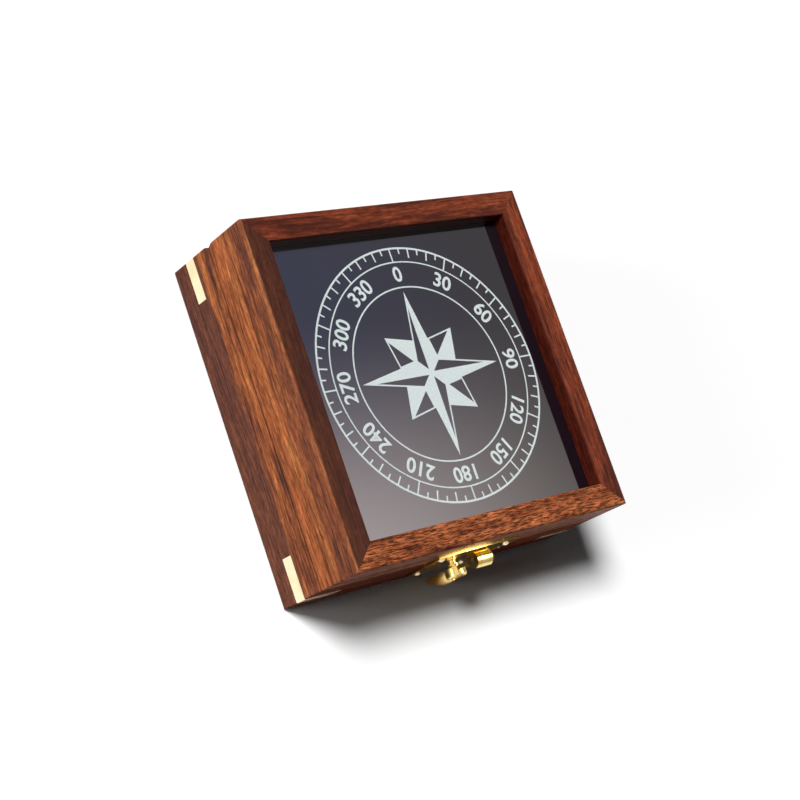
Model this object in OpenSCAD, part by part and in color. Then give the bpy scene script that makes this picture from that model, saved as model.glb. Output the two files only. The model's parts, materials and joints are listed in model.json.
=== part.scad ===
// Box compass: a square wooden case with a glazed, hinged lid and a brass hasp,
// and a compass bowl that hangs level inside on a gimbal ring.
// Millimetres. X runs along the front, Y to the hinge side, Z up.
// The origin is the middle of the case's underside; the lid is shut.

/* [Case] */
// Outside width and depth of the square case
box_side = 102; // [100:0.5:110]
// Height of the base, up to the parting line
base_h = 20.4; // [20:0.1:23]
// Height of the lid, from the parting line to the top
lid_h = 18; // [17:0.1:21]
// Thickness of the boards and rails
wall = 7.6; // [7:0.1:9]
// Gap between the shut lid and the base
parting_gap = 0.1; // [0.06:0.02:0.2]
// Rounding of the case's outer top and bottom edges
edge_r = 0.8; // [0.5:0.1:1.6]
// Rounding of the case's upright corners
corner_r = 0.4; // [0.3:0.1:1.6]
// Rounding of the outer edges along the parting line
part_edge_r = 0.2; // [0.1:0.05:0.4]
// Rounding of the lid's inner top edges
inner_edge_r = 0.6; // [0.3:0.1:1]
// Glue line left between two mitred boards
mitre_gap = 0.04; // [0.02:0.01:0.1]
// Thickness of the bottom panel
floor_t = 3.5; // [3:0.1:3.8]
// How far the bottom panel reaches into its rebate
floor_lap = 2.6; // [1.5:0.1:3.2]

/* [Back edge] */
// Depth of the rounded notch along the back of the parting line
notch_depth = 1.1; // [0.9:0.1:1.3]
// Height of the notch above and below the parting line
notch_h = 3.3; // [2.7:0.1:3.6]

/* [Lid glass] */
// Depth of the glass below the lid's top
glass_recess = 4.9; // [4:0.1:6]
// Thickness of the glass
glass_t = 2; // [1.6:0.1:2.6]
// How far the glass reaches into its groove
glass_lap = 2.4; // [1.5:0.1:3.5]
// Clearance of each pane in its groove or seat
glass_fit = 0.05; // [0.02:0.01:0.12]

/* [Corner inlays] */
// Length of an inlay along each face
inlay_l = 12.8; // [9:0.1:16]
// Height of an inlay
inlay_h = 4.3; // [3:0.1:6]
// Height of an inlay's lower edge above the underside
inlay_z = 7.3; // [5:0.1:9]
// Thickness of an inlay
inlay_t = 1.2; // [0.8:0.1:1.6]
// Dark glue line around an inlay
inlay_fit = 0.12; // [0.05:0.01:0.2]

/* [Hinges] */
// Distance of each hinge's middle from the case's side
hinge_inset = 24; // [20:0.5:28]
// Length of a hinge along the back
hinge_l = 18; // [15:0.5:21]
// Thickness of a hinge leaf
leaf_t = 0.8; // [0.6:0.05:0.9]
// Depth of a hinge leaf, from its pin towards the inside
leaf_d = 5.6; // [5.2:0.1:5.8]
// Radius of the hinge barrel
barrel_r = 1.25; // [1.15:0.05:1.4]
// Radius of the hinge pin
hinge_pin_r = 0.5; // [0.4:0.05:0.6]
// Running clearance round each pivot, on the radius
pivot_fit = 0.04; // [0.02:0.01:0.08]
// End clearance between two knuckles
knuckle_gap = 0.1; // [0.06:0.02:0.2]
// Distance between the two screws of a leaf
screw_pitch = 11; // [9:0.5:13]
// Radius of a screw head
screw_head_r = 1.25; // [1:0.05:1.4]
// Radius of a screw shank
screw_r = 0.65; // [0.5:0.05:0.8]
// Length of a screw
screw_l = 6; // [4:0.5:9]

/* [Latch plates] */
// Thickness of the latch plates
plate_t = 0.8; // [0.6:0.05:1]
// Width of the upper plate at its top corners
plate_top_w = 30.8; // [29.8:0.2:33]
// Width of both plates at the parting line
plate_mid_w = 28.6; // [28:0.2:29.6]
// Width of the lower plate at its bottom corners
plate_low_w = 22.4; // [21.6:0.2:25]
// Height of the upper plate
upper_plate_h = 10.6; // [10.2:0.1:12.6]
// Height of the lower plate
lower_plate_h = 17.4; // [16.8:0.1:18]
// How far the middle of each plate's outer edge bows out beyond its corners
plate_bow = 3; // [2:0.1:4]
// Distance of both plates from the parting line
plate_gap = 0.6; // [0.3:0.1:1]
// Distance of the upper nails from the middle
upper_nail_x = 12.2; // [10.5:0.1:12.6]
// Height of the upper nails above the parting line
upper_nail_z = 4.9; // [4:0.1:5.5]
// Distance of the lower nails from the middle
lower_nail_x = 8.3; // [7.4:0.1:8.8]
// Depth of the lower nails below the parting line
lower_nail_z = 12.7; // [11.5:0.1:12.9]
// Radius of a nail head
nail_head_r = 1; // [0.7:0.05:1.3]
// Radius of a nail shank
nail_r = 0.5; // [0.35:0.05:0.6]
// Length of a nail behind its plate
nail_l = 5; // [3:0.5:6]

/* [Hasp] */
// Radius of the hasp's barrel
hasp_barrel_r = 2.5; // [2.3:0.05:2.6]
// Length of the hasp's own knuckle
hasp_knuckle_l = 2.8; // [2.2:0.1:3.6]
// Length of each of the plate's knuckles beside it
plate_knuckle_l = 1.4; // [1:0.1:2]
// Height of the hasp's pin above the parting line
hasp_pin_z = 6.4; // [5.8:0.1:7]
// Radius of the hasp's pin
hasp_pin_r = 0.7; // [0.5:0.05:0.9]
// Thickness of the hasp's flat strap
hasp_t = 1.1; // [0.8:0.05:1.3]
// Radius of the raised eye round the slot
eye_r = 3.2; // [3:0.1:3.6]
// Height of the raised eye above the hasp's back
eye_h = 2.9; // [2.3:0.1:3.2]
// Width of the slot
slot_w = 3.2; // [2.8:0.1:3.4]
// Height of the slot
slot_h = 4.2; // [3.8:0.1:4.6]
// Width of the finger leaf below the eye
leaf_w = 6.8; // [6:0.1:7.2]
// Length of the leaf from the knob to its tip
leaf_l = 13.9; // [12:0.1:14.2]
// Height of the leaf's rounded back above its flat side
leaf_h = 3.5; // [2.8:0.1:3.7]
// Rounding of the leaf's tip
leaf_tip_r = 1.8; // [1.4:0.1:2]
// Depth of the knob below the parting line
knob_z = 6; // [5.6:0.1:6.4]
// Radius of the knob's head
knob_r = 1.9; // [1.8:0.05:2.1]
// Thickness of the knob's head
knob_head_t = 1; // [0.8:0.05:1.2]
// Distance from the case's front to the knob's front
knob_reach = 2.5; // [2.3:0.05:2.7]
// Radius of the knob's stem
knob_stem_r = 1.2; // [1:0.05:1.4]
// Gap between the resting hasp and the knob
hasp_rest_gap = 0.1; // [0.05:0.05:0.25]

/* [Gimbal] */
// Depth of the gimbal axes below the base's top edge
gimbal_drop = 3.2; // [2.9:0.1:3.5]
// Share of the free room between bowl and wall that lies inside the ring
ring_share = 0.374; // [0.35:0.002:0.4]
// Thickness of the gimbal ring
ring_t = 2.4; // [1.8:0.1:2.8]
// Height of the gimbal ring
ring_h = 5; // [4:0.2:6]
// Radius of the gimbal pins
gimbal_pin_r = 0.9; // [0.7:0.05:1.1]
// Radius of the collar on each wall pivot
collar_r = 2.2; // [1.8:0.1:2.4]
// Share of the room outside the ring that this collar fills
collar_share = 0.42; // [0.3:0.02:0.46]
// Radius of the wall pivots' threaded end
wall_screw_r = 1.3; // [1.1:0.05:1.6]
// Length of that end in the board
wall_screw_l = 5; // [3:0.1:6]
// Radius of the heads of the ring pivots
ring_head_r = 1.9; // [1.5:0.1:2.1]
// Thickness of those heads
ring_head_t = 1; // [0.8:0.1:1.4]

/* [Compass bowl] */
// Outside radius of the bowl's upright rim
bowl_r = 29.5; // [29:0.1:30]
// Thickness of the upright rim
rim_t = 2.4; // [2.2:0.1:2.8]
// Height of the rim's top above the gimbal axes
rim_top = 1.7; // [1.5:0.1:1.9]
// Depth of the rim's lower end below the gimbal axes
rim_low = 2.5; // [2.2:0.1:2.8]
// Depth of the rounded bottom below the gimbal axes
bowl_depth = 11.2; // [10.6:0.1:11.4]
// Thickness of the rounded bottom
bowl_t = 1.5; // [1.2:0.1:1.8]
// Radius of the flat pad inside the bottom
pad_r = 9; // [7.5:0.1:10]
// Thickness of the metal under that pad
pad_t = 2; // [1.8:0.1:2.2]
// Radius of the balance weight
weight_r = 8.4; // [6.5:0.1:8.6]
// Height of the balance weight
weight_h = 3; // [2:0.1:3.6]
// Radius of the pivot post
post_r = 1.4; // [1.1:0.05:1.8]
// Radius of the pivot post's upper end
post_tip_r = 0.45; // [0.35:0.05:0.55]
// Thickness of the gasket under the bowl's glass
gasket_t = 0.4; // [0.3:0.05:0.6]
// Thickness of the bowl's glass
bowl_glass_t = 1.4; // [1.2:0.1:1.5]
// How far the glass reaches over the rim
bowl_glass_lap = 1.3; // [1:0.1:1.6]
// How far the bezel stands out beyond the rim
bezel_over = 1.5; // [1.3:0.1:1.8]
// How far the bezel's lip reaches in beyond the rim
lip_over = 1.1; // [0.7:0.1:1.5]
// Thickness of the bezel's lip
lip_t = 0.8; // [0.6:0.05:0.9]
// How far the bezel reaches down over the rim
skirt_l = 0.4; // [0.3:0.05:0.5]
// Width of the lubber line's pin
lubber_w = 0.6; // [0.5:0.05:1]

/* [Compass card] */
// Room between the compass card and the bowl's rim
card_room = 2.1; // [1.5:0.1:3.5]
// Thickness of the compass card
card_t = 0.4; // [0.3:0.05:0.5]
// Height of the card's underside above the gimbal axes
card_z = 0.2; // [0:0.1:0.4]
// Radius of the cap in the card's middle
cap_r = 2.4; // [2:0.1:3]
// Height of the cap above the card
cap_top = 1; // [0.9:0.1:1.1]
// Depth of the cap below the card
cap_low = 1.6; // [1.2:0.1:2]
// Radius of the jewel in the cap
jewel_r = 1.2; // [1.1:0.05:1.4]
// Length of a bar magnet
magnet_l = 24; // [18:0.5:30]
// Width of a bar magnet
magnet_w = 3; // [2:0.1:4]
// Height of a bar magnet
magnet_h = 1.6; // [1:0.1:2]
// Distance of each bar magnet from the middle
magnet_x = 6; // [5.2:0.1:9]

/* [Hidden] */
$fn = 64;

wood_c = "#7a4126";
brass_c = "#d9b45a";
steel_c = "#b9bcc0";
glass_c = [0.25, 0.27, 0.34, 0.6];
clear_c = [0.8, 0.88, 0.9, 0.35];

// A little more than a cut's own size, so that it breaks through
over = 1;
// Overlap of two shapes that make one piece
join = 0.2;
// Slot for a screwdriver: its width and depth
driver_w = 0.35;
driver_d = 0.28;
half = box_side / 2;
inside = half - wall;
lid_z0 = base_h + parting_gap;
top_z = lid_z0 + lid_h;
part_z = base_h + parting_gap / 2;
glass_z1 = top_z - glass_recess;
glass_z0 = glass_z1 - glass_t;
notch_r = (notch_h * notch_h + notch_depth * notch_depth) / (2 * notch_depth);

// The hinge axis lies at the bottom of the notch
hinge_x = half - hinge_inset;
hinge_y = half - notch_depth;
mortise_fit = 0.04;
barrel_room = 0.2;
head_room = 0.15;
knuckle_l = hinge_l / 3;
screw_y = hinge_y - barrel_r - barrel_room - screw_head_r - head_room;

// Latch, all on the front face
front_y = -half;
plate_y = front_y - plate_t;
barrel_sink = 0.1;
hasp_y = plate_y - hasp_barrel_r + barrel_sink;
hasp_z = part_z + hasp_pin_z;
knob_c = part_z - knob_z;
knob_front = front_y - knob_reach;
hasp_back = knob_front - hasp_rest_gap;
nail_fit = 0.02;
upper_plate_z = part_z + plate_gap;
lower_plate_z = part_z - plate_gap;

// Gimbal and bowl heights
axis_z = base_h - gimbal_drop;
ring_in_r = bowl_r + ring_share * (inside - bowl_r - ring_t);
ring_out_r = ring_in_r + ring_t;
collar_t = collar_share * (inside - ring_out_r);
bowl_pin_depth = 1.6;
sphere_d = bowl_depth - rim_low;
sphere_r = (bowl_r * bowl_r + sphere_d * sphere_d) / (2 * sphere_d);
sphere_z = sphere_r - bowl_depth;
pad_top = -bowl_depth + pad_t;
rim_in_r = bowl_r - rim_t;
card_r = rim_in_r - card_room;
bezel_r = bowl_r + bezel_over;
bezel_in_r = rim_in_r - lip_over;
gasket_z = rim_top;
pane_z = gasket_z + gasket_t;
pane_top = pane_z + bowl_glass_t;
pane_r = rim_in_r + bowl_glass_lap;
bezel_top = pane_top + glass_fit + lip_t;
card_top = card_z + card_t;
cap_roof = 0.7;
cup_top = card_top + cap_top - cap_roof;
jewel_h = 1.2;
jewel_roof = 0.25;
// Gap between the post's point and the roof of the jewel's hollow
tip_gap = 0.05;
// Gap round the card, and between its cap and the post's shoulder
cap_gap = 0.5;

// Square outline in plan with rounded upright edges
module case_outline(grow = 0) {
  a = half + grow;
  r = corner_r + grow;
  square([2 * (a - r), 2 * a], center = true);
  square([2 * a, 2 * (a - r)], center = true);
  for (sx = [-1, 1], sy = [-1, 1]) translate([sx * (a - r), sy * (a - r)]) circle(r);
}

// Plan of the front board, cut at 45 degrees at both ends
module mitre_plan() {
  g = mitre_gap / 2;
  reach = half + over;
  polygon([[-reach + g, -reach], [reach - g, -reach],
           [inside - g, -inside], [-inside + g, -inside]]);
}

// Square of side r with a quarter round taken out, to cut an edge round.
// The edge lies at the origin and the material lies towards +X and +Y.
module edge_cutter(r) {
  difference() {
    translate([-over, -over]) square(r + over);
    translate([r, r]) circle(r);
  }
}

// Section of a front board or rail, looking along the board.
// First coordinate 0 is the outer face and wall is the inner face.
module base_section() {
  difference() {
    square([wall, base_h]);
    edge_cutter(edge_r);
    translate([0, base_h]) mirror([0, 1]) edge_cutter(part_edge_r);
    translate([wall - floor_lap, -over]) square([floor_lap + over, floor_t + over]);
  }
}

module lid_section() {
  difference() {
    square([wall, lid_h]);
    edge_cutter(part_edge_r);
    translate([0, lid_h]) mirror([0, 1]) edge_cutter(edge_r);
    translate([wall, lid_h]) mirror([1, 0]) mirror([0, 1]) edge_cutter(inner_edge_r);
    translate([wall - glass_lap - glass_fit, lid_h - glass_recess - glass_t - glass_fit])
      square([glass_lap + glass_fit + over, glass_t + 2 * glass_fit]);
  }
}

// Runs a section along X on the front side, from z upwards
module run_front(z) {
  translate([-half - over, -half, z])
    rotate([90, 0, 90]) linear_extrude(2 * (half + over)) children();
}

// Board on the side that turn names: 0 front, 90 right, 180 back, 270 left
module board(turn, z, h) {
  intersection() {
    rotate([0, 0, turn]) run_front(z) children();
    translate([0, 0, z - over]) linear_extrude(h + 2 * over) case_outline();
    translate([0, 0, z - over]) rotate([0, 0, turn]) linear_extrude(h + 2 * over) mitre_plan();
  }
}

// Rounded notch that runs along the back of the parting line
module back_notch() {
  difference() {
    translate([-half - over, half - notch_depth - over, part_z - notch_h])
      cube([2 * (half + over), notch_depth + 2 * over, 2 * notch_h]);
    for (s = [-1, 1])
      translate([0, half - notch_r, part_z + s * notch_h])
        rotate([0, 90, 0]) cylinder(h = 2 * half + 4 * over, r = notch_r, center = true, $fn = 128);
  }
}

module inlay_shape(sx, sy, grow = 0) {
  l = inlay_l + grow;
  t = inlay_t + grow;
  translate([0, 0, inlay_z - grow]) linear_extrude(inlay_h + 2 * grow)
    difference() {
      intersection() {
        case_outline();
        translate([sx * (half - l / 2 + over / 2), sy * (half - l / 2 + over / 2)])
          square(l + over, center = true);
      }
      translate([sx * (half - t - l), sy * (half - t - l)]) square(2 * l, center = true);
    }
}

module inlay_pockets() {
  for (sx = [-1, 1], sy = [-1, 1]) inlay_shape(sx, sy, inlay_fit);
}

module inlay(sx, sy) {
  color(brass_c) inlay_shape(sx, sy);
}

// Places a hinge's parts at the left or right hinge
module at_hinge(side) {
  translate([side * hinge_x, hinge_y, part_z]) children();
}

module along_x(h, r) {
  rotate([0, 90, 0]) cylinder(h = h, r = r, center = true);
}

// Room in the wood for the barrel and for one leaf, up is 1 for the lid
module hinge_mortise(up) {
  for (side = [-1, 1]) at_hinge(side) {
    along_x(hinge_l + 2 * knuckle_gap, barrel_r + barrel_room);
    translate([-hinge_l / 2 - mortise_fit, -leaf_d - mortise_fit, up > 0 ? -over : -leaf_room()])
      cube([hinge_l + 2 * mortise_fit, leaf_d + mortise_fit, leaf_room() + over]);
    for (s = [-1, 1]) translate([s * screw_pitch / 2, screw_y - hinge_y, 0])
      wood_screw_hole(up);
  }
}

function leaf_room() = leaf_t + parting_gap / 2 + mortise_fit;

module wood_screw_hole(up) {
  mirror([0, 0, up > 0 ? 0 : 1]) cylinder(h = screw_l + parting_gap, r = screw_r + nail_fit, $fn = 32);
}

// Countersunk screw with its flat head at z = 0, pointing up
module wood_screw() {
  head_h = screw_head_r - screw_r;
  difference() {
    union() {
      cylinder(h = head_h, r1 = screw_head_r, r2 = screw_r, $fn = 32);
      cylinder(h = screw_l - screw_r, r = screw_r, $fn = 32);
      translate([0, 0, screw_l - screw_r]) cylinder(h = screw_r, r1 = screw_r, r2 = screw_r / 6, $fn = 32);
    }
    cube([3 * screw_head_r, driver_w, 2 * driver_d], center = true);
  }
}

// One leaf: up 1 is the lid's leaf with the middle knuckle, up -1 the base's with the outer two
module hinge_leaf(side, up) {
  color(brass_c) at_hinge(side) difference() {
    union() {
      difference() {
        translate([-hinge_l / 2, -leaf_d, up > 0 ? parting_gap / 2 : -parting_gap / 2 - leaf_t])
          cube([hinge_l, leaf_d, leaf_t]);
        for (k = [-1 : 1]) if ((abs(k) == 1) == (up > 0))
          translate([k * knuckle_l, 0, 0])
            along_x(knuckle_l + 2 * knuckle_gap, barrel_r + barrel_room);
      }
      for (k = [-1 : 1]) if ((abs(k) == 1) != (up > 0))
        translate([k * knuckle_l, 0, 0])
          along_x(knuckle_l - (up > 0 ? knuckle_gap : 0), barrel_r);
    }
    along_x(hinge_l + over, hinge_pin_r + pivot_fit);
    for (s = [-1, 1]) translate([s * screw_pitch / 2, screw_y - hinge_y, 0])
      mirror([0, 0, up > 0 ? 0 : 1]) {
        cylinder(h = leaf_t + over, r = screw_r + nail_fit, $fn = 32);
        translate([0, 0, parting_gap / 2 - 0.01])
          cylinder(h = screw_head_r - screw_r + nail_fit, r1 = screw_head_r + nail_fit + 0.01,
                   r2 = screw_r, $fn = 32);
      }
  }
}

module hinge_pin(side) {
  color(steel_c) at_hinge(side) along_x(hinge_l, hinge_pin_r);
}

module hinge_screws(up) {
  color(brass_c) for (side = [-1, 1], s = [-1, 1])
    translate([side * hinge_x + s * screw_pitch / 2, screw_y, part_z + up * parting_gap / 2])
      mirror([0, 0, up > 0 ? 0 : 1]) wood_screw();
}

// A nail or pivot that points into the front face at x, z
module at_front(x, y, z) {
  translate([x, y, z]) rotate([-90, 0, 0]) children();
}

// Places of the nails in each plate, as x and z
upper_nails = [for (s = [-1, 1]) [s * upper_nail_x, part_z + upper_nail_z]];
lower_nails = [for (s = [-1, 1]) [s * lower_nail_x, part_z - lower_nail_z]];

module nail_holes(places, depth) {
  for (p = places) at_front(p[0], plate_y - over, p[1])
    cylinder(h = depth + over, r = nail_r + nail_fit, $fn = 32);
}

// Nails with a low round head on the face of their plate
module nails(places) {
  head_h = 0.5;
  ball_r = (nail_head_r * nail_head_r + head_h * head_h) / (2 * head_h);
  color(brass_c) for (p = places) at_front(p[0], plate_y, p[1]) {
    cylinder(h = plate_t + nail_l, r = nail_r, $fn = 32);
    intersection() {
      translate([0, 0, ball_r - head_h]) sphere(r = ball_r);
      translate([0, 0, -2 * head_h]) cylinder(h = 2 * head_h, r = 2 * nail_head_r);
    }
  }
}

// Room in the base for the tenon of the knob's stem
module knob_hole() {
  at_front(0, plate_y - over, knob_c)
    cylinder(h = nail_l + plate_t + over, r = knob_stem_r + nail_fit);
}

// Outline of a latch plate: a straight edge of width w0 at y = 0, sides that slope
// to width w1, and a far edge that is one flat arc.
module plate_outline(w0, w1, h) {
  arc_r = (w1 * w1 / 4 + plate_bow * plate_bow) / (2 * plate_bow);
  w2 = w0 + (w1 - w0) * (h + over) / (h - plate_bow);
  intersection() {
    polygon([[-w0 / 2, 0], [w0 / 2, 0], [w2 / 2, h + over], [-w2 / 2, h + over]]);
    translate([0, h - arc_r]) circle(arc_r, $fn = 256);
  }
}

// Raises an outline drawn in x and z off the front face
module front_plate(y0, t) {
  translate([0, y0, 0]) rotate([90, 0, 0]) linear_extrude(t) children();
}

// The plate and its barrel, whose middle is cut away for the hasp's knuckle
module latch_upper_plate() {
  color(brass_c) difference() {
    union() {
      front_plate(front_y, plate_t) translate([0, upper_plate_z])
        plate_outline(plate_mid_w, plate_top_w, upper_plate_h);
      translate([0, hasp_y, hasp_z])
        along_x(hasp_knuckle_l + 2 * plate_knuckle_l, hasp_barrel_r);
    }
    translate([0, hasp_y, hasp_z]) {
      along_x(4 * hasp_knuckle_l, hasp_pin_r + pivot_fit);
      along_x(hasp_knuckle_l + knuckle_gap, hasp_barrel_r + barrel_room);
    }
    nail_holes(upper_nails, plate_t + over);
  }
}

module hasp_pin() {
  color(steel_c) translate([0, hasp_y, hasp_z])
    along_x(hasp_knuckle_l + 2 * plate_knuckle_l, hasp_pin_r);
}

// Strap from the barrel to the eye, in x and z
module strap_outline() {
  translate([-hasp_knuckle_l / 2, knob_c]) square([hasp_knuckle_l, hasp_z - knob_c]);
}

// Finger leaf below the eye: the front of a spindle with a round tip at the bottom.
// The long arc of its side runs into the tip's arc without a corner, at a height of tip_z.
module leaf_body() {
  long = leaf_l + eye_r;
  r = leaf_tip_r;
  tip_c = long / 2 - r;
  arc_r = (tip_c * tip_c + leaf_w * leaf_w / 4 - r * r) / (leaf_w - 2 * r);
  tip_z = -tip_c * arc_r / (arc_r - r);
  intersection() {
    translate([0, hasp_back - leaf_h + leaf_w / 2, knob_c + eye_r - long / 2])
      rotate_extrude() intersection() {
        union() {
          intersection() {
            translate([leaf_w / 2 - arc_r, 0]) circle(arc_r, $fn = 256);
            translate([0, tip_z]) square([leaf_w, 2 * long]);
          }
          translate([0, -tip_c]) circle(r);
        }
        translate([0, -long]) square([leaf_w, 2 * long]);
      }
    translate([-leaf_w, hasp_back - 2 * leaf_h, 0]) cube([2 * leaf_w, 2 * leaf_h, hasp_z]);
  }
}

module slot_outline() {
  square([slot_w, slot_h - slot_w], center = true);
  for (s = [-1, 1]) translate([0, s * (slot_h - slot_w) / 2]) circle(slot_w / 2);
}

module hasp() {
  edge = 0.5;
  color(brass_c) difference() {
    union() {
      translate([0, hasp_y, hasp_z]) along_x(hasp_knuckle_l, hasp_barrel_r);
      front_plate(hasp_back, hasp_t) strap_outline();
      leaf_body();
      at_front(0, hasp_back - eye_h, knob_c) {
        cylinder(h = edge, r1 = eye_r - edge, r2 = eye_r);
        translate([0, 0, edge]) cylinder(h = eye_h - edge, r = eye_r);
      }
    }
    translate([0, hasp_y, hasp_z]) along_x(hasp_knuckle_l + over, hasp_pin_r + pivot_fit);
    front_plate(hasp_back + over, eye_h + leaf_h + 2 * over) translate([0, knob_c]) slot_outline();
  }
}

module latch_lower_plate() {
  color(brass_c) difference() {
    front_plate(front_y, plate_t) translate([0, lower_plate_z]) mirror([0, 1])
      plate_outline(plate_mid_w, plate_low_w, lower_plate_h);
    nail_holes(lower_nails, plate_t + over);
    knob_hole();
  }
}

// Mushroom knob whose tenon is let into the base
module latch_knob() {
  edge = 0.3;
  color(brass_c) at_front(0, knob_front, knob_c) {
    cylinder(h = edge, r1 = knob_r - edge, r2 = knob_r);
    translate([0, 0, edge]) cylinder(h = knob_head_t - edge, r = knob_r);
    cylinder(h = knob_reach + nail_l, r = knob_stem_r);
  }
}

module base_front_board() {
  color(wood_c) difference() {
    board(0, 0, base_h) base_section();
    inlay_pockets();
    nail_holes(lower_nails, plate_t + nail_l);
    knob_hole();
  }
}

module base_back_board() {
  color(wood_c) difference() {
    board(180, 0, base_h) base_section();
    inlay_pockets();
    back_notch();
    hinge_mortise(-1);
  }
}

// Left is -1 and right is 1
module base_side_board(side) {
  color(wood_c) difference() {
    board(side > 0 ? 90 : 270, 0, base_h) base_section();
    inlay_pockets();
    back_notch();
    wall_pivot_hole(side);
  }
}

module base_bottom_panel() {
  side = 2 * (inside + floor_lap - mitre_gap);
  color(wood_c) translate([-side / 2, -side / 2, 0]) cube([side, side, floor_t - mitre_gap]);
}

module lid_front_rail() {
  color(wood_c) difference() {
    board(0, lid_z0, lid_h) lid_section();
    nail_holes(upper_nails, plate_t + nail_l);
  }
}

module lid_back_rail() {
  color(wood_c) difference() {
    board(180, lid_z0, lid_h) lid_section();
    back_notch();
    hinge_mortise(1);
  }
}

module lid_side_rail(side) {
  color(wood_c) difference() {
    board(side > 0 ? 90 : 270, lid_z0, lid_h) lid_section();
    back_notch();
  }
}

module lid_glass() {
  side = 2 * (inside + glass_lap);
  color(glass_c) translate([-side / 2, -side / 2, glass_z0]) cube([side, side, glass_t]);
}

// Wall pivot, drawn at the origin: the wall's inner face is x = 0, the ring lies towards -X
module wall_pivot() {
  pin_l = inside - ring_in_r - 2 * join;
  rotate([0, 90, 0]) {
    cylinder(h = wall_screw_l, r = wall_screw_r);
    translate([0, 0, -collar_t]) cylinder(h = collar_t, r = collar_r);
    translate([0, 0, -pin_l]) cylinder(h = pin_l, r = gimbal_pin_r);
  }
}

module wall_pivots() {
  color(brass_c) for (a = [0, 180])
    rotate([0, 0, a]) translate([inside, 0, axis_z]) wall_pivot();
}

module wall_pivot_hole(side) {
  translate([side * inside, 0, axis_z]) rotate([0, side * 90, 0])
    translate([0, 0, -over]) cylinder(h = wall_screw_l + over, r = wall_screw_r + nail_fit);
}

module gimbal_ring() {
  color(brass_c) translate([0, 0, axis_z]) difference() {
    cylinder(h = ring_h, r = ring_out_r, center = true, $fn = 128);
    cylinder(h = ring_h + over, r = ring_in_r, center = true, $fn = 128);
    along_x(3 * ring_out_r, gimbal_pin_r + pivot_fit);
    rotate([0, 0, 90]) along_x(3 * ring_out_r, gimbal_pin_r + nail_fit);
  }
}

// Screws through the ring, whose tips carry the bowl
module ring_pivots() {
  tip = bowl_r - bowl_pin_depth;
  color(steel_c) translate([0, 0, axis_z]) for (a = [0, 180]) rotate([0, 0, a])
    rotate([-90, 0, 0]) {
      translate([0, 0, tip]) cylinder(h = ring_out_r - tip, r = gimbal_pin_r);
      translate([0, 0, ring_out_r]) difference() {
        cylinder(h = ring_head_t, r = ring_head_r);
        translate([0, 0, ring_head_t]) cube([driver_w, 3 * ring_head_r, 2 * driver_d], center = true);
      }
    }
}

// Everything in the bowl is drawn about the point where the gimbal axes cross
module at_axis() {
  translate([0, 0, axis_z]) children();
}

module compass_bowl() {
  color(brass_c) at_axis() difference() {
    rotate_extrude($fn = 128) {
      intersection() {
        translate([0, sphere_z]) difference() {
          circle(sphere_r, $fn = 256);
          circle(sphere_r - bowl_t, $fn = 256);
        }
        translate([0, -bowl_depth - over]) square([bowl_r, bowl_depth + over - rim_low + join]);
      }
      translate([rim_in_r, -rim_low]) square([rim_t, rim_low + rim_top]);
      intersection() {
        translate([0, sphere_z]) circle(sphere_r - bowl_t / 2, $fn = 256);
        translate([0, -bowl_depth]) square([pad_r, pad_t]);
      }
    }
    translate([0, 0, pad_top]) cylinder(h = weight_h, r = pad_r);
    rotate([0, 0, 90]) for (a = [0, 180]) rotate([0, 0, a]) rotate([0, 90, 0])
      translate([0, 0, bowl_r - bowl_pin_depth - join])
        cylinder(h = bowl_pin_depth + over, r = gimbal_pin_r + pivot_fit);
  }
}

module bowl_weight() {
  color(steel_c) at_axis() translate([0, 0, pad_top]) difference() {
    cylinder(h = weight_h, r = weight_r);
    translate([0, 0, -over]) cylinder(h = weight_h + 2 * over, r = post_r + nail_fit);
  }
}

// Post that stands on the pad and ends in a fine point under the jewel
module pivot_post() {
  taper = 2;
  shoulder = card_z - cap_low - cap_gap;
  color(steel_c) at_axis() {
    translate([0, 0, pad_top]) cylinder(h = shoulder - pad_top - taper, r = post_r);
    translate([0, 0, shoulder - taper]) cylinder(h = taper, r1 = post_r, r2 = post_tip_r);
    translate([0, 0, shoulder])
      cylinder(h = cup_top - jewel_roof - tip_gap - shoulder, r = post_tip_r, $fn = 32);
  }
}

module lubber_line() {
  foot = 2 * join - rim_low;
  color("black") at_axis() translate([0, 0, foot]) intersection() {
    translate([-lubber_w / 2, -rim_in_r - over, 0])
      cube([lubber_w, rim_in_r + over - card_r - cap_gap, rim_top - foot]);
    cylinder(h = rim_top - foot, r = rim_in_r, $fn = 128);
  }
}

module bowl_gasket() {
  color("black") at_axis() translate([0, 0, gasket_z]) difference() {
    cylinder(h = gasket_t, r = pane_r, $fn = 128);
    translate([0, 0, -over]) cylinder(h = gasket_t + 2 * over, r = rim_in_r, $fn = 128);
  }
}

module bowl_glass() {
  color(clear_c) at_axis() translate([0, 0, pane_z])
    cylinder(h = bowl_glass_t, r = pane_r, $fn = 128);
}

module bezel_ring() {
  chamfer = 0.5;
  color(brass_c) at_axis() rotate_extrude($fn = 128) polygon([
    [bowl_r + glass_fit, rim_top - skirt_l], [bezel_r, rim_top - skirt_l],
    [bezel_r, bezel_top - chamfer], [bezel_r - chamfer, bezel_top],
    [bezel_in_r + chamfer, bezel_top], [bezel_in_r, bezel_top - chamfer],
    [bezel_in_r, pane_top + glass_fit], [pane_r + glass_fit, pane_top + glass_fit],
    [pane_r + glass_fit, rim_top + glass_fit], [bowl_r + glass_fit, rim_top + glass_fit]
  ]);
}

module compass_card() {
  color("white") at_axis() translate([0, 0, card_z]) difference() {
    cylinder(h = card_t, r = card_r, $fn = 128);
    translate([0, 0, -over]) cylinder(h = card_t + 2 * over, r = cap_r + nail_fit);
  }
}

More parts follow.
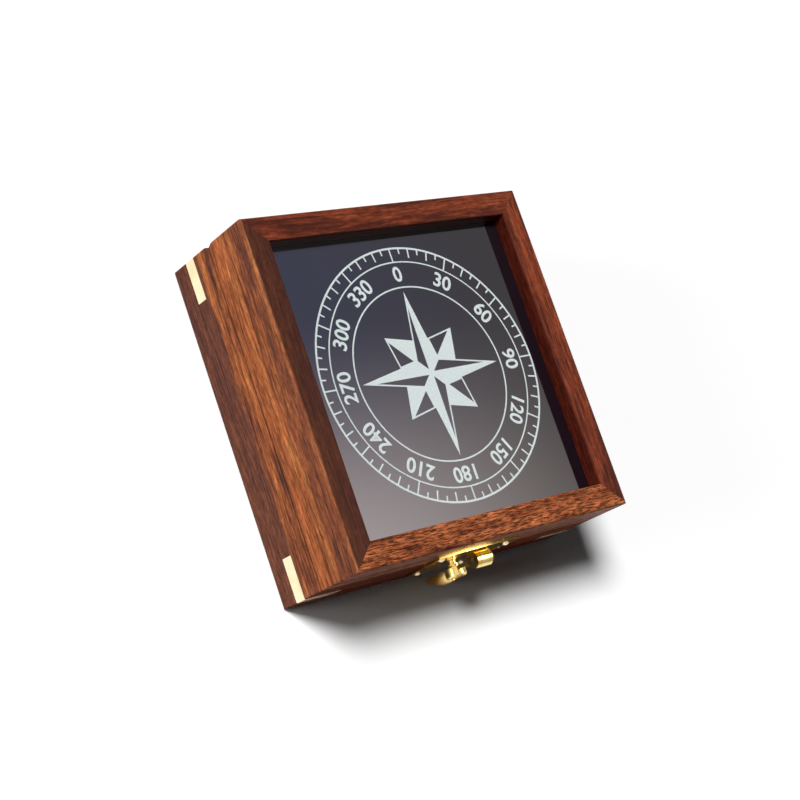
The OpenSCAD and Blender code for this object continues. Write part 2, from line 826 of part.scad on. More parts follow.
// Brass cap that carries the card and holds the jewel
module card_cap() {
  flange_t = 0.4;
  flange_w = 1;
  color(brass_c) at_axis() difference() {
    union() {
      translate([0, 0, card_z - cap_low]) cylinder(h = cap_low + card_t + cap_top, r = cap_r);
      translate([0, 0, card_top]) cylinder(h = flange_t, r = cap_r + flange_w);
    }
    translate([0, 0, card_z - cap_low - over])
      cylinder(h = cup_top - card_z + cap_low + over, r = jewel_r + nail_fit);
  }
}

module cap_jewel() {
  color("firebrick") at_axis() translate([0, 0, cup_top - jewel_h]) difference() {
    cylinder(h = jewel_h, r = jewel_r, $fn = 32);
    translate([0, 0, -over])
      cylinder(h = jewel_h - jewel_roof + over, r = post_tip_r + pivot_fit, $fn = 32);
  }
}

module card_magnets() {
  color(steel_c) at_axis() for (s = [-1, 1])
    translate([s * magnet_x - magnet_w / 2, -magnet_l / 2, card_z - magnet_h])
      cube([magnet_w, magnet_l, magnet_h]);
}

base_front_board();
base_back_board();
base_side_board(-1);  // base_left_board
base_side_board(1);  // base_right_board
base_bottom_panel();
inlay(-1, -1);  // corner_inlay_front_left
inlay(1, -1);  // corner_inlay_front_right
inlay(-1, 1);  // corner_inlay_back_left
inlay(1, 1);  // corner_inlay_back_right
lid_front_rail();
lid_back_rail();
lid_side_rail(-1);  // lid_left_rail
lid_side_rail(1);  // lid_right_rail
lid_glass();
hinge_leaf(-1, -1);  // left_hinge_base_leaf
hinge_leaf(-1, 1);  // left_hinge_lid_leaf
hinge_pin(-1);  // left_hinge_pin
hinge_leaf(1, -1);  // right_hinge_base_leaf
hinge_leaf(1, 1);  // right_hinge_lid_leaf
hinge_pin(1);  // right_hinge_pin
hinge_screws(-1);  // base_hinge_screws
hinge_screws(1);  // lid_hinge_screws
latch_upper_plate();
nails(upper_nails);  // upper_plate_nails
hasp_pin();
hasp();
latch_lower_plate();
nails(lower_nails);  // lower_plate_nails
latch_knob();
wall_pivots();
gimbal_ring();
ring_pivots();
compass_bowl();
bowl_weight();
pivot_post();
lubber_line();
bowl_gasket();
bowl_glass();
bezel_ring();
compass_card();
card_cap();
cap_jewel();
card_magnets();
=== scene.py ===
import json
import math

import bmesh
import bpy
from mathutils import Matrix, Vector

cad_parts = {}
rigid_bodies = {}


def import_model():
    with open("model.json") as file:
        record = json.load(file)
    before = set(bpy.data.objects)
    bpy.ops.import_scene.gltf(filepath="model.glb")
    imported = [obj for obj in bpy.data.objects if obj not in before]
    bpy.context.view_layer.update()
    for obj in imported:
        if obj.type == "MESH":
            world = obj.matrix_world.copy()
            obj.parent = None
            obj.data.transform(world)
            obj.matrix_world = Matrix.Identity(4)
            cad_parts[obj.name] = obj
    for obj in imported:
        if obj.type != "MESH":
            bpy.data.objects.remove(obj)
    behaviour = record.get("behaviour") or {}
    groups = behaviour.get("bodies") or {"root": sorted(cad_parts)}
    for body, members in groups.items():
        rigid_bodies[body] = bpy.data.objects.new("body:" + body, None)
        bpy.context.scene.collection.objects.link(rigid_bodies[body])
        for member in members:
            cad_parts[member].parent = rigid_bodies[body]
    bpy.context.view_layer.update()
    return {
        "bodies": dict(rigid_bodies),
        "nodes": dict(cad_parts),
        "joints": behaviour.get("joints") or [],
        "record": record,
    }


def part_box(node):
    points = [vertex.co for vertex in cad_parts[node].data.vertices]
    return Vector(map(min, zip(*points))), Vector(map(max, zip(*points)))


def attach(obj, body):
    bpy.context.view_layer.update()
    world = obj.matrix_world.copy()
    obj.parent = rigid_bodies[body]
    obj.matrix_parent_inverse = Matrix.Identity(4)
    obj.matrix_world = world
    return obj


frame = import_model()
nodes = frame["nodes"]
mm = 0.001
print("frame loaded:", len(nodes), "nodes")


# Camera, at the photograph's angle

view = {
    "place": (-0.33962, -0.09841, 0.43269),
    "target": (-0.00259, -0.00278, 0.01925),
    "roll": -58.765,  # degrees
    "lens": 83.83,
    "sensor": 36,
}


def makeCamera():
    data = bpy.data.cameras.new("camera")
    data.lens = view["lens"]
    data.sensor_width = view["sensor"]
    data.clip_start = 0.01
    data.clip_end = 20
    camera = bpy.data.objects.new("camera", data)
    bpy.context.scene.collection.objects.link(camera)
    place = Vector(view["place"])
    ahead = (Vector(view["target"]) - place).normalized()
    level = ahead.cross(Vector((0, 0, 1))).normalized()
    upright = level.cross(ahead)
    roll = math.radians(view["roll"])
    up = upright * math.cos(roll) + level * math.sin(roll)
    right = ahead.cross(up)
    turn = Matrix((right, up, -ahead)).transposed().to_4x4()
    camera.matrix_world = Matrix.Translation(place) @ turn
    bpy.context.scene.camera = camera


makeCamera()
print("camera set")


# Helpers for node trees

def tone(red, green, blue):  # screen colour, 0 to 255, to the linear colour of a socket
    def linear(value):
        share = value / 255
        return share / 12.92 if share <= 0.04045 else ((share + 0.055) / 1.055) ** 2.4
    return (linear(red), linear(green), linear(blue), 1)


def addNode(tree, kind, sockets=None, **settings):
    node = tree.nodes.new(kind)
    for key, value in settings.items():
        setattr(node, key, value)
    for key, value in (sockets or {}).items():
        node.inputs[key].default_value = value
    return node


def newFinish(name, sockets):
    material = bpy.data.materials.new(name)
    material.use_nodes = True
    shader = material.node_tree.nodes["Principled BSDF"]
    for key, value in sockets.items():
        shader.inputs[key].default_value = value
    return material, material.node_tree, shader


def objectPoint(tree, scale=(1, 1, 1), turn=0, shift=(0, 0, 0)):
    place = addNode(tree, "ShaderNodeTexCoord")
    mapping = addNode(tree, "ShaderNodeMapping",
                      {"Location": shift, "Rotation": (0, 0, turn), "Scale": scale})
    tree.links.new(place.outputs["Object"], mapping.inputs["Vector"])
    return mapping.outputs["Vector"]


def noiseOf(tree, point, scale, detail=3, rough=0.55):
    noise = addNode(tree, "ShaderNodeTexNoise",
                    {"Scale": scale, "Detail": detail, "Roughness": rough})
    tree.links.new(point, noise.inputs["Vector"])
    return noise.outputs["Fac"]


def scaled(tree, point, factors):
    node = addNode(tree, "ShaderNodeVectorMath", operation="MULTIPLY")
    node.inputs[1].default_value = factors
    tree.links.new(point, node.inputs[0])
    return node.outputs["Vector"]


def spread(tree, value, low, high, toLow=0.0, toHigh=1.0):
    node = addNode(tree, "ShaderNodeMapRange",
                   {"From Min": low, "From Max": high, "To Min": toLow, "To Max": toHigh},
                   interpolation_type="SMOOTHSTEP")
    tree.links.new(value, node.inputs["Value"])
    return node.outputs["Result"]


def combined(tree, operation, first, second):
    node = addNode(tree, "ShaderNodeMath", operation=operation)
    for index, value in enumerate((first, second)):
        if isinstance(value, (int, float)):
            node.inputs[index].default_value = value
        else:
            tree.links.new(value, node.inputs[index])
    return node.outputs["Value"]


def mixed(tree, factor, first, second, blend="MIX"):
    node = addNode(tree, "ShaderNodeMix", data_type="RGBA", blend_type=blend)
    for socket, value in ((0, factor), (6, first), (7, second)):
        if isinstance(value, (int, float, tuple)):
            node.inputs[socket].default_value = value
        else:
            tree.links.new(value, node.inputs[socket])
    return node.outputs[2]


def ramp(tree, value, stops):
    node = addNode(tree, "ShaderNodeValToRGB")
    while len(node.color_ramp.elements) < len(stops):
        node.color_ramp.elements.new(0.5)
    for element, (place, colour) in zip(node.color_ramp.elements, stops):
        element.position = place
        element.color = colour
    tree.links.new(value, node.inputs["Fac"])
    return node.outputs["Color"]


def addBump(tree, shader, height, depth, strength):
    bump = addNode(tree, "ShaderNodeBump", {"Strength": strength, "Distance": depth})
    tree.links.new(height, bump.inputs["Height"])
    tree.links.new(bump.outputs["Normal"], shader.inputs["Normal"])


def finishNode(name, material):
    for materialSlot in nodes[name].material_slots:
        materialSlot.material = material


# Wood: each board has its own cut of the same dark, streaked timber

woodCut = {
    "streakWidth": 4.6,  # mm, across the grain
    "streakLength": 75.0,
    "figureWidth": 1.7,
    "figureLength": 15.0,
    "mottleWidth": 0.9,
    "mottleLength": 2.4,
    "fibreWidth": 0.4,
    "fibreLength": 6.0,
    "veinWidth": 0.75,
    "veinLength": 60.0,
    "veins": 0.7,
    "poreWidth": 0.32,
    "poreLength": 3.2,
    "dashWidth": 0.34,
    "dashLength": 2.4,
    "waver": 3.5,
    "driftScale": (14, 30, 30),
    "streakShare": 0.55,
    "figureShare": 0.45,
    "fibreTone": (0.28, 0.72, 0.55, 1.3),  # noise from and to, brightness from and to
    "mottleTone": (0.3, 0.7, 0.72, 1.28),
    "veinEdge": (0.60, 0.67),  # noise where it starts and where it is full
    "veinDark": tone(34, 16, 13),
    "poreEdge": (0.60, 0.70),
    "poreDark": tone(28, 14, 12),
    "dashEdge": (0.51, 0.58),
    "dashDark": tone(40, 20, 16),
    "roughness": 0.45,
    "specular": 0.06,
    "bumpDepth": 0.12,
    "bumpStrength": 0.35,
}

# Painted light: the left boards get the brightest orange wood, which stands in part for the
# light falling on the case's left side
orangeLitWood = ((0.36, tone(66, 38, 32)), (0.45, tone(126, 68, 44)),
              (0.54, tone(184, 104, 58)), (0.66, tone(222, 142, 80)))
redWood = ((0.36, tone(56, 22, 14)), (0.46, tone(90, 40, 26)),
           (0.54, tone(124, 58, 36)), (0.66, tone(156, 80, 50)))
rustWood = ((0.36, tone(100, 50, 31)), (0.46, tone(156, 85, 52)),
            (0.54, tone(188, 108, 66)), (0.66, tone(214, 130, 82)))
darkWood = ((0.36, tone(48, 24, 18)), (0.46, tone(74, 38, 28)),
            (0.54, tone(96, 50, 36)), (0.66, tone(118, 64, 46)))

# along: grain direction. The zone lists give axis, start and end in mm, and the tone the surface
# turns to there. Some zones are painted shade: dark strips along the parting gap, the dark top
# of the left rail and the darkened inner walls of the right and back rails; the others make the
# left side lighter or darker with height
boards = {
    "base_left_board": {"along": "Y", "shift": (0.11, 0.27, 0.40), "tones": orangeLitWood,
                        "toneAndShadeZones": [("Z", 14.5, 11.5, tone(92, 54, 46), 0.9),
                                  # painted shade: a dark strip along the top of the base, in the
                                  # parting gap under the lid
                                  ("Z", 19.9, 20.2, tone(44, 22, 17), 0.75)],
                        "pores": 0.5},
    "base_right_board": {"along": "Y", "shift": (0.53, 0.15, 0.22), "tones": redWood,
                         "pores": 0.6},
    "base_front_board": {"along": "X", "shift": (0.31, 0.44, 0.09), "tones": redWood,
                         "pores": 0.7, "specular": 0.01},
    "base_back_board": {"along": "X", "shift": (0.72, 0.08, 0.33), "tones": redWood,
                        "pores": 0.6},
    "base_bottom_panel": {"along": "X", "shift": (0.90, 0.35, 0.61), "tones": darkWood,
                          "pores": 0.6},
    "lid_left_rail": {"along": "Y", "shift": (0.11, 0.27, 0.40), "tones": orangeLitWood,
                      "toneAndShadeZones": [("Z", 28.0, 23.5, tone(200, 112, 62), 0.65),
                                ("Z", 26.0, 36.0, tone(104, 58, 46), 0.6),
                                # painted shade: a dark strip along the lid's lower edge, at the
                                # parting gap
                                ("Z", 20.85, 20.65, tone(44, 22, 17), 0.75),
                                # painted shade: the top face of the left rail is darkened
                                # against its lit side face
                                ("X", -50.6, -49.9, tone(58, 30, 23), 0.95)],
                      "pores": 0.5},
    "lid_right_rail": {"along": "Y", "shift": (0.44, 0.66, 0.17), "tones": redWood,
                       # painted shade: the right rail's inner wall, facing into the case, turns
                       # deep dark red
                       "toneAndShadeZones": [("X", 44.1, 43.6, tone(72, 20, 9), 0.92)], "pores": 0.8},
    "lid_front_rail": {"along": "X", "shift": (0.05, 0.83, 0.52), "tones": rustWood,
                       "pores": 1.0, "dashes": 0.95, "veins": 0.2, "specular": 0.03},
    "lid_back_rail": {"along": "X", "shift": (0.62, 0.37, 0.75), "tones": redWood,
                      # painted shade: the back rail's inner wall, facing into the case, turns
                      # nearly black
                      "toneAndShadeZones": [("Y", 44.1, 43.6, tone(62, 20, 11), 0.92)], "pores": 0.6},
}


def woodFinish(name, look):
    material, tree, shader = newFinish(name + "Wood", {
        "Roughness": woodCut["roughness"],
        "Specular IOR Level": look.get("specular", woodCut["specular"]),
    })
    turn = math.pi / 2 if look["along"] == "Y" else 0
    point = objectPoint(tree, turn=turn, shift=look["shift"])

    # The grain wavers slowly from side to side
    drift = noiseOf(tree, scaled(tree, point, woodCut["driftScale"]), 1, 2)
    bend = combined(tree, "MULTIPLY", combined(tree, "SUBTRACT", drift, 0.5),
                    woodCut["waver"] * mm)
    push = addNode(tree, "ShaderNodeCombineXYZ")
    tree.links.new(bend, push.inputs["Y"])
    tree.links.new(bend, push.inputs["Z"])
    wavy = addNode(tree, "ShaderNodeVectorMath", operation="ADD")
    tree.links.new(point, wavy.inputs[0])
    tree.links.new(push.outputs["Vector"], wavy.inputs[1])
    grain = wavy.outputs["Vector"]

    def layer(width, length, detail, rough):
        across = 1 / (width * mm)
        return noiseOf(tree, scaled(tree, grain, (1 / (length * mm), across, across)), 1,
                       detail, rough)

    streak = layer(woodCut["streakWidth"], woodCut["streakLength"], 5, 0.62)
    inFigure = layer(woodCut["figureWidth"], woodCut["figureLength"], 3, 0.6)
    fibre = layer(woodCut["fibreWidth"], woodCut["fibreLength"], 2, 0.6)
    vein = layer(woodCut["veinWidth"], woodCut["veinLength"], 2, 0.5)
    pore = layer(woodCut["poreWidth"], woodCut["poreLength"], 1, 0.5)

    body = combined(tree, "ADD", combined(tree, "MULTIPLY", streak, woodCut["streakShare"]),
                    combined(tree, "MULTIPLY", inFigure, woodCut["figureShare"]))
    colour = ramp(tree, body, look["tones"])
    split = addNode(tree, "ShaderNodeSeparateXYZ")
    tree.links.new(objectPoint(tree), split.inputs["Vector"])
    # Bands of tone along an axis; some of them are painted shade (the parting gap, the left
    # rail's top, the inner walls)
    for axis, start, end, zoneToneAndShade, amount in look.get("toneAndShadeZones", []):
        edge = combined(tree, "ADD", split.outputs[axis],
                        combined(tree, "MULTIPLY",
                                 combined(tree, "SUBTRACT", streak, 0.5), abs(end - start) * mm))
        low, high = min(start, end) * mm, max(start, end) * mm
        rising = end > start
        share = spread(tree, edge, low, high, 0 if rising else amount, amount if rising else 0)
        colour = mixed(tree, share, colour, mixed(tree, 0.08, zoneToneAndShade, colour))
    fibreTone = spread(tree, fibre, *woodCut["fibreTone"])
    colour = mixed(tree, 1.0, colour, fibreTone, "MULTIPLY")
    mottle = layer(woodCut["mottleWidth"], woodCut["mottleLength"], 3, 0.65)
    colour = mixed(tree, 1.0, colour, spread(tree, mottle, *woodCut["mottleTone"]), "MULTIPLY")
    veinShare = spread(tree, vein, *woodCut["veinEdge"], 0, look.get("veins", woodCut["veins"]))
    colour = mixed(tree, veinShare, colour, mixed(tree, 0.8, colour, woodCut["veinDark"]))
    poreShare = spread(tree, pore, *woodCut["poreEdge"], 0, look["pores"])
    colour = mixed(tree, poreShare, colour, mixed(tree, 0.75, colour, woodCut["poreDark"]))

    if "dashes" in look:
        dash = layer(woodCut["dashWidth"], woodCut["dashLength"], 1, 0.5)
        dashShare = spread(tree, dash, *woodCut["dashEdge"], 0, look["dashes"])
        colour = mixed(tree, dashShare, colour, mixed(tree, 0.8, colour, woodCut["dashDark"]))
        poreShare = combined(tree, "MAXIMUM", poreShare, dashShare)
    tree.links.new(colour, shader.inputs["Base Color"])

    height = combined(tree, "SUBTRACT", combined(tree, "MULTIPLY", fibre, 0.35), poreShare)
    addBump(tree, shader, height, woodCut["bumpDepth"] * mm, woodCut["bumpStrength"])
    return material


for boardName, look in boards.items():
    finishNode(boardName, woodFinish(boardName, look))
print("wood finished:", len(boards), "boards")


# Metals

brassLooks = {
    "inlayBrass": {"tone": tone(252, 240, 204), "worn": tone(244, 226, 178), "roughness": 0.26},
    "plateBrass": {"tone": tone(250, 218, 130), "worn": tone(230, 180, 86), "roughness": 0.13},
    "haspBrass": {"tone": tone(252, 224, 142), "worn": tone(236, 188, 94), "roughness": 0.2,
                  "lowShade": (12.6, 9.4, tone(216, 146, 50))},  # painted shade towards the lower end: from and to height, and tone
    "hingeBrass": {"tone": tone(222, 180, 96), "worn": tone(186, 140, 66), "roughness": 0.26},
    "bowlBrass": {"tone": tone(226, 188, 106), "worn": tone(198, 154, 76), "roughness": 0.24},
    "pinSteel": {"tone": tone(196, 198, 202), "worn": tone(160, 162, 168), "roughness": 0.22},
    "magnetSteel": {"tone": tone(120, 124, 132), "worn": tone(90, 94, 102), "roughness": 0.34},
}


def metalFinish(name, look):
    material, tree, shader = newFinish(name, {"Metallic": 1.0})
    point = objectPoint(tree)
    cloud = noiseOf(tree, point, 160, 4, 0.6)
    scratch = noiseOf(tree, scaled(tree, point, (500, 5000, 2600)), 1, 2, 0.6)
    colour = mixed(tree, spread(tree, cloud, 0.42, 0.72), look["tone"], look["worn"])
    # Painted shade: the hasp turns darker towards its lower end, the leaf, standing in for the
    # shadowed floor it reflects
    if "lowShade" in look:
        shadeStart, lowShade, lowShadeTone = look["lowShade"]
        split = addNode(tree, "ShaderNodeSeparateXYZ")
        tree.links.new(point, split.inputs["Vector"])
        share = spread(tree, split.outputs["Z"], lowShade * mm, shadeStart * mm, 0.9, 0)
        colour = mixed(tree, share, colour, mixed(tree, 0.25, lowShadeTone, colour))
    tree.links.new(colour, shader.inputs["Base Color"])
    rough = spread(tree, cloud, 0.3, 0.75, look["roughness"] * 0.8, look["roughness"] * 1.5)
    tree.links.new(rough, shader.inputs["Roughness"])
    addBump(tree, shader, scratch, 0.01 * mm, 0.2)
    return material


metals = {name: metalFinish(name, look) for name, look in brassLooks.items()}

metalNodes = {
    "inlayBrass": ["corner_inlay_front_left", "corner_inlay_front_right",
                   "corner_inlay_back_left", "corner_inlay_back_right",
                   "upper_plate_nails", "lower_plate_nails"],
    "plateBrass": ["latch_upper_plate", "latch_lower_plate", "latch_knob"],
    "haspBrass": ["hasp"],
    "hingeBrass": ["left_hinge_base_leaf", "left_hinge_lid_leaf", "right_hinge_base_leaf",
                   "right_hinge_lid_leaf", "base_hinge_screws", "lid_hinge_screws"],
    "bowlBrass": ["wall_pivots", "gimbal_ring", "compass_bowl", "bowl_weight", "bezel_ring",
                  "card_cap"],
    "pinSteel": ["left_hinge_pin", "right_hinge_pin", "hasp_pin", "ring_pivots", "pivot_post"],
    "magnetSteel": ["card_magnets"],
}
for metalName, members in metalNodes.items():
    for member in members:
        finishNode(member, metals[metalName])
print("metal finished")


# Lid glass, smoked, and the bowl's clear glass

glassLook = {
    "smokeAndReflectionLeft": tone(26, 29, 60),
    "smokeAndShadeRight": tone(22, 12, 20),
    "smokeAndShadeSpan": (-55.0, 50.0),  # mm across the case, from the left tone to the right one; bluish on the left as a painted reflection, darker on the right as painted shade
    "roughness": 0.05,
    "ior": 1.46,
    "clear": tone(225, 236, 236),
    "clearAlpha": 0.16,
}


def lidGlassFinish():
    material, tree, shader = newFinish("smokedGlass", {"IOR": glassLook["ior"]})
    point = objectPoint(tree)
    haze = noiseOf(tree, point, 28, 3, 0.5)
    split = addNode(tree, "ShaderNodeSeparateXYZ")
    tree.links.new(point, split.inputs["Vector"])
    # Painted reflection and shade: the smoked tint runs from bluish on the left to near black on
    # the right
    start, end = glassLook["smokeAndShadeSpan"]
    across = spread(tree, split.outputs["X"], start * mm, end * mm)
    colour = mixed(tree, across, glassLook["smokeAndReflectionLeft"], glassLook["smokeAndShadeRight"])
    tree.links.new(colour, shader.inputs["Base Color"])
    rough = spread(tree, haze, 0.3, 0.7, glassLook["roughness"], glassLook["roughness"] * 1.15)
    tree.links.new(rough, shader.inputs["Roughness"])
    return material


def bowlGlassFinish():
    material, tree, shader = newFinish("clearGlass", {
        "IOR": 1.5, "Alpha": glassLook["clearAlpha"],
    })
    point = objectPoint(tree)
    haze = noiseOf(tree, point, 60, 3, 0.5)
    colour = mixed(tree, spread(tree, haze, 0.3, 0.7), glassLook["clear"], tone(205, 220, 222))
    tree.links.new(colour, shader.inputs["Base Color"])
    tree.links.new(spread(tree, haze, 0.3, 0.7, 0.02, 0.06), shader.inputs["Roughness"])
    return material


def plainFinish(name, first, second, size, roughness, depth):
    material, tree, shader = newFinish(name, {"Roughness": roughness})
    point = objectPoint(tree)
    mottle = noiseOf(tree, point, 1 / (size * mm), 4, 0.6)
    tree.links.new(mixed(tree, spread(tree, mottle, 0.3, 0.7), first, second),
                   shader.inputs["Base Color"])
    addBump(tree, shader, mottle, depth * mm, 0.3)
    return material


finishNode("lid_glass", lidGlassFinish())
finishNode("bowl_glass", bowlGlassFinish())
rubber = plainFinish("sealRubber", tone(24, 24, 25), tone(40, 40, 42), 0.6, 0.7, 0.03)
finishNode("bowl_gasket", rubber)
finishNode("lubber_line", plainFinish("lubberBlack", tone(16, 16, 17), tone(30, 30, 31),
                                      0.5, 0.35, 0.01))
finishNode("compass_card", plainFinish("cardPaper", tone(240, 236, 222), tone(228, 222, 204),
                                       2.0, 0.6, 0.01))
finishNode("cap_jewel", plainFinish("jewelRed", tone(150, 20, 36), tone(118, 10, 26),
                                    0.8, 0.08, 0.005))
print("glass and small parts finished")


# Helpers for flat printed shapes

def keepMesh(name, mesh, materials, body):
    for material in materials:
        mesh.materials.append(material)
    piece = bpy.data.objects.new(name, mesh)
    bpy.context.scene.collection.objects.link(piece)
    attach(piece, body)


def meshFromCurve(curve, place):
    holder = bpy.data.objects.new("holder", curve)
    bpy.context.scene.collection.objects.link(holder)
    bpy.context.view_layer.update()
    graph = bpy.context.evaluated_depsgraph_get()
    mesh = bpy.data.meshes.new_from_object(holder.evaluated_get(graph))
    bpy.data.objects.remove(holder)
    bpy.data.curves.remove(curve)
    mesh.transform(place)
    return mesh


def addMesh(shape, mesh, index=0):
    before = len(shape.faces)
    shape.from_mesh(mesh)
    shape.faces.ensure_lookup_table()
    for face in shape.faces[before:]:
        face.material_index = index
        face.smooth = False
    bpy.data.meshes.remove(mesh)


def figure(text, size, thick, bold, place):
    curve = bpy.data.curves.new("figure", "FONT")
    curve.body = text
    curve.size = size * mm
    curve.align_x = "CENTER"
    curve.align_y = "CENTER"
    curve.offset = bold * mm
    curve.extrude = thick * mm / 2
    curve.resolution_u = 4
    return meshFromCurve(curve, place)


def filledOutlines(outlines, thick, place):
    curve = bpy.data.curves.new("outline", "CURVE")
    curve.dimensions = "2D"
    curve.fill_mode = "BOTH"
    curve.extrude = thick * mm / 2
    for outline in outlines:
        spline = curve.splines.new("POLY")
        spline.points.add(len(outline) - 1)
        for point, (x, y) in zip(spline.points, outline):
            point.co = (x * mm, y * mm, 0, 1)
        spline.use_cyclic_u = True
    return meshFromCurve(curve, place)


def ringOutlines(radius, width, count):
    outlines = []
    for edge in (radius, radius - width):
        shape = bmesh.new()
        bmesh.ops.create_circle(shape, segments=count, radius=edge)
        outlines.append([(corner.co.x, corner.co.y) for corner in shape.verts])
        shape.free()
    return outlines


def addTick(shape, look, angle, edge, length, lift):
    half = look["tickWidth"] / 2
    corners = [(-half, edge - length), (half, edge - length), (half, edge), (-half, edge)]
    turn = Matrix.Rotation(math.radians(-angle), 4, "Z")
    addMesh(shape, filledOutlines([corners], look["thick"], lift @ turn))


def addNumber(shape, look, number, lift):
    turn = Matrix.Rotation(math.radians(-number), 4, "Z")
    out = Matrix.Translation((0, look["numberRadius"] * mm, 0))
    addMesh(shape, figure(str(number), look["numberSize"], look["thick"], look["bold"],
                          lift @ turn @ out))


def meshOf(shape, name):
    mesh = bpy.data.meshes.new(name)
    shape.to_mesh(mesh)
    shape.free()
    return mesh


# Frosted design on the lid glass: a compass rose in a graduated ring of plain degree numbers

glassPrint = {
    "thick": 0.05,
    "segments": 128,
    "frost": tone(214, 224, 224),
    "frostShade": tone(200, 212, 213),
    "ringRadius": 39.0,
    "ringWidth": 0.6,
    "innerRing": 34.6,
    "innerWidth": 0.4,
    "tickEvery": 5,
    "longTick": 2.7,
    "shortTick": 1.5,
    "tickWidth": 0.45,
    "numberEvery": 30,
    "numberRadius": 30.4,
    "numberSize": 6.4,
    "bold": 0.12,
    "roseRing": 26.8,
    "roseRadius": 25.2,
    "roseNotch": 5.6,  # distance of the notches between two long points
    "smallRadius": 17.5,
    "smallBase": 0.3,  # share of a long point's edge that a small point covers
    "lineWidth": 0.45,
}


def polar(radius, heading):  # degrees, clockwise from the back of the case
    turn = math.radians(heading)
    return (radius * math.sin(turn), radius * math.cos(turn))


def insetTriangle(corners, margin):
    sides = [math.dist(corners[index - 2], corners[index - 1]) for index in range(3)]
    around = sum(sides)
    middleX = sum(side * corner[0] for side, corner in zip(sides, corners)) / around
    middleY = sum(side * corner[1] for side, corner in zip(sides, corners)) / around
    (x0, y0), (x1, y1), (x2, y2) = corners
    doubleArea = abs((x1 - x0) * (y2 - y0) - (x2 - x0) * (y1 - y0))
    share = 1 - margin * around / doubleArea
    return [(middleX + (x - middleX) * share, middleY + (y - middleY) * share)
            for x, y in corners]


def roseHalves():  # the filled and the outlined half of each point
    filled, outlined = [], []
    for heading in (0, 90, 180, 270):
        tip = polar(glassPrint["roseRadius"], heading)
        for side, own, other in ((45, filled, outlined), (-45, outlined, filled)):
            notch = polar(glassPrint["roseNotch"], heading + side)
            own.append([(0, 0), notch, tip])
            share = glassPrint["smallBase"]
            onEdge = (notch[0] + (tip[0] - notch[0]) * share,
                      notch[1] + (tip[1] - notch[1]) * share)
            other.append([notch, onEdge, polar(glassPrint["smallRadius"], heading + side)])
    return filled, outlined


def frostFinish():
    material, tree, shader = newFinish("frostedPrint", {"Roughness": 0.55})
    grainy = noiseOf(tree, objectPoint(tree), 2200, 2, 0.6)
    tree.links.new(mixed(tree, spread(tree, grainy, 0.35, 0.65), glassPrint["frost"],
                         glassPrint["frostShade"]), shader.inputs["Base Color"])
    addBump(tree, shader, grainy, 0.01 * mm, 0.25)
    return material


def makeGlassRose(lift, frost):
    shape = bmesh.new()
    thick = glassPrint["thick"]
    filled, outlined = roseHalves()
    for corners in filled:
        addMesh(shape, filledOutlines([corners], thick, lift))
    for corners in outlined:
        frame = [corners, insetTriangle(corners, glassPrint["lineWidth"])]
        addMesh(shape, filledOutlines(frame, thick, lift))
    ring = ringOutlines(glassPrint["roseRing"], glassPrint["lineWidth"], glassPrint["segments"])
    addMesh(shape, filledOutlines(ring, thick, lift))
    keepMesh("glassRose", meshOf(shape, "glassRose"), [frost], "lid")


def makeGlassDegreeRing(lift, frost):
    shape = bmesh.new()
    edge = glassPrint["ringRadius"] - glassPrint["ringWidth"]
    for radius, width in (("ringRadius", "ringWidth"), ("innerRing", "innerWidth")):
        ring = ringOutlines(glassPrint[radius], glassPrint[width], glassPrint["segments"])
        addMesh(shape, filledOutlines(ring, glassPrint["thick"], lift))
    for angle in range(0, 360, glassPrint["tickEvery"]):
        length = glassPrint["longTick"] if angle % 10 == 0 else glassPrint["shortTick"]
        if angle % glassPrint["numberEvery"] == 0:
            length = edge - glassPrint["innerRing"]
        addTick(shape, glassPrint, angle, edge, length, lift)
    for number in range(0, 360, glassPrint["numberEvery"]):
        addNumber(shape, glassPrint, number, lift)
    keepMesh("glassDegreeRing", meshOf(shape, "glassDegreeRing"), [frost], "lid")


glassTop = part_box("lid_glass")[1].z
glassLift = Matrix.Translation((0, 0, glassTop + glassPrint["thick"] * mm / 2))
frosted = frostFinish()
makeGlassRose(glassLift, frosted)
makeGlassDegreeRing(glassLift, frosted)
print("glass design made")


# Compass card print: a rose, degree marks and plain numbers

cardPrint = {
    "radius": 24.4,
    "thick": 0.04,
    "segments": 96,
    "tickEvery": 5,
    "longTick": 2.6,
    "shortTick": 1.4,
    "tickWidth": 0.24,
    "numberEvery": 30,
    "numberRadius": 19.4,
    "numberSize": 3.3,
    "bold": 0.03,
    "roseRadius": 15.5,
    "roseWaist": 3.1,
    "smallRose": 0.66,
    "ringWidth": 0.25,
    "ink": tone(26, 30, 38),
    "red": tone(168, 32, 28),
    "gold": tone(190, 150, 74),
}


def roseStar(radius, waist, turn, place, shape, darkIndex, lightIndex):
    star = bmesh.new()
    bmesh.ops.create_circle(star, cap_ends=True, cap_tris=True, segments=8, radius=1.0)
    star.verts.ensure_lookup_table()
    for corner in star.verts:
        if corner.co.length < 0.5:
            continue
        heading = round(math.degrees(math.atan2(corner.co.y, corner.co.x))) % 90
        reach = radius if heading == 0 else waist
        corner.co = corner.co.normalized() * reach * mm
    bmesh.ops.triangulate(star, faces=star.faces)
    for face in star.faces:
        middle = face.calc_center_median()
        angle = math.degrees(math.atan2(middle.y, middle.x)) % 90
        face.material_index = darkIndex if angle < 45 else lightIndex
    solid = bmesh.ops.extrude_face_region(star, geom=star.faces[:], use_keep_orig=True)
    raised = [part for part in solid["geom"] if isinstance(part, bmesh.types.BMVert)]
    bmesh.ops.translate(star, verts=raised, vec=(0, 0, cardPrint["thick"] * mm))
    bmesh.ops.recalc_face_normals(star, faces=star.faces)
    bmesh.ops.transform(star, matrix=place @ Matrix.Rotation(math.radians(turn), 4, "Z"),
                        verts=star.verts)
    mesh = meshOf(star, "star")
    shape.from_mesh(mesh)
    bpy.data.meshes.remove(mesh)


